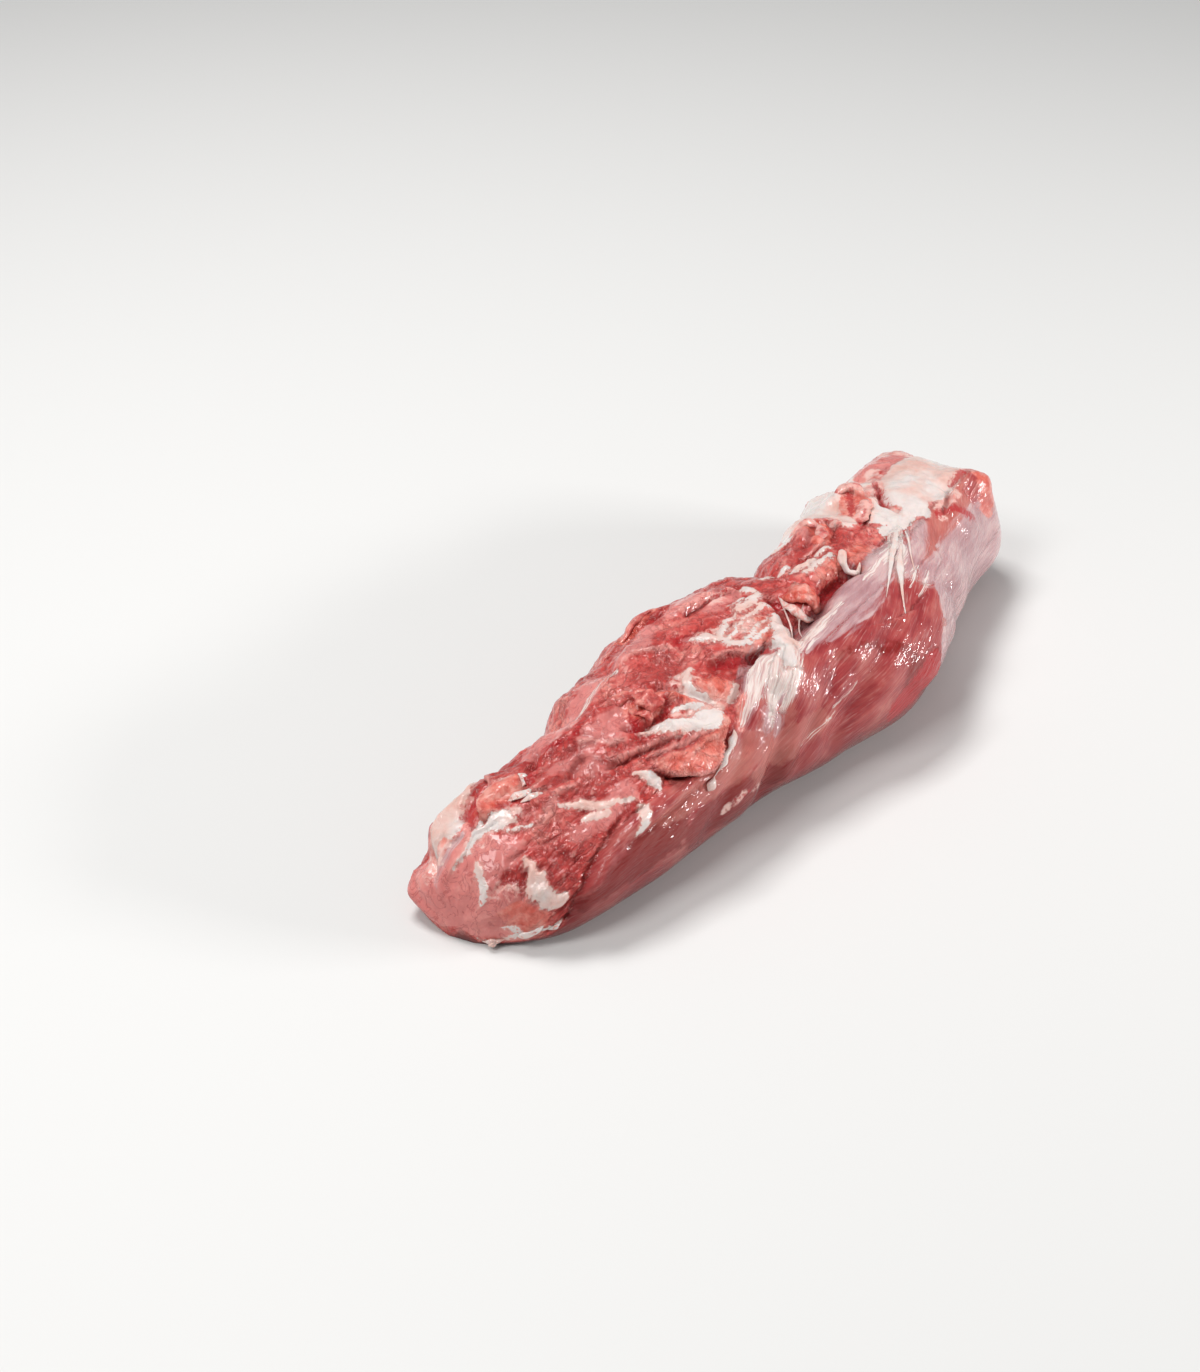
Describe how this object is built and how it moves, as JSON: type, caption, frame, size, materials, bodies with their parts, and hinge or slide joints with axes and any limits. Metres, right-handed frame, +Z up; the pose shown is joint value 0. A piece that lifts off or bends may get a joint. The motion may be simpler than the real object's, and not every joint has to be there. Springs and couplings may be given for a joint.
{
  "type": "raw pork tenderloin",
  "caption": "Whole raw pork tenderloin, trimmed, tapering to a thin tail, with torn fat and flesh on its cut face and smooth silverskin down its side, lying flat.",
  "frame": {"origin": "on the resting plane, under the middle of the loin's box", "axes": "+X along the loin from its thin tail to its thick head, +Y towards the shoulder of the cut face, +Z up out of the surface that it lies on"},
  "size_m": [0.2623, 0.0819, 0.0503],
  "materials": {
    "raw_pork": "moist raw flesh with creamy fat and pale silverskin"
  },
  "bodies": {
    "root": {"tenderloin": "raw_pork"}
  },
  "joints": []
}
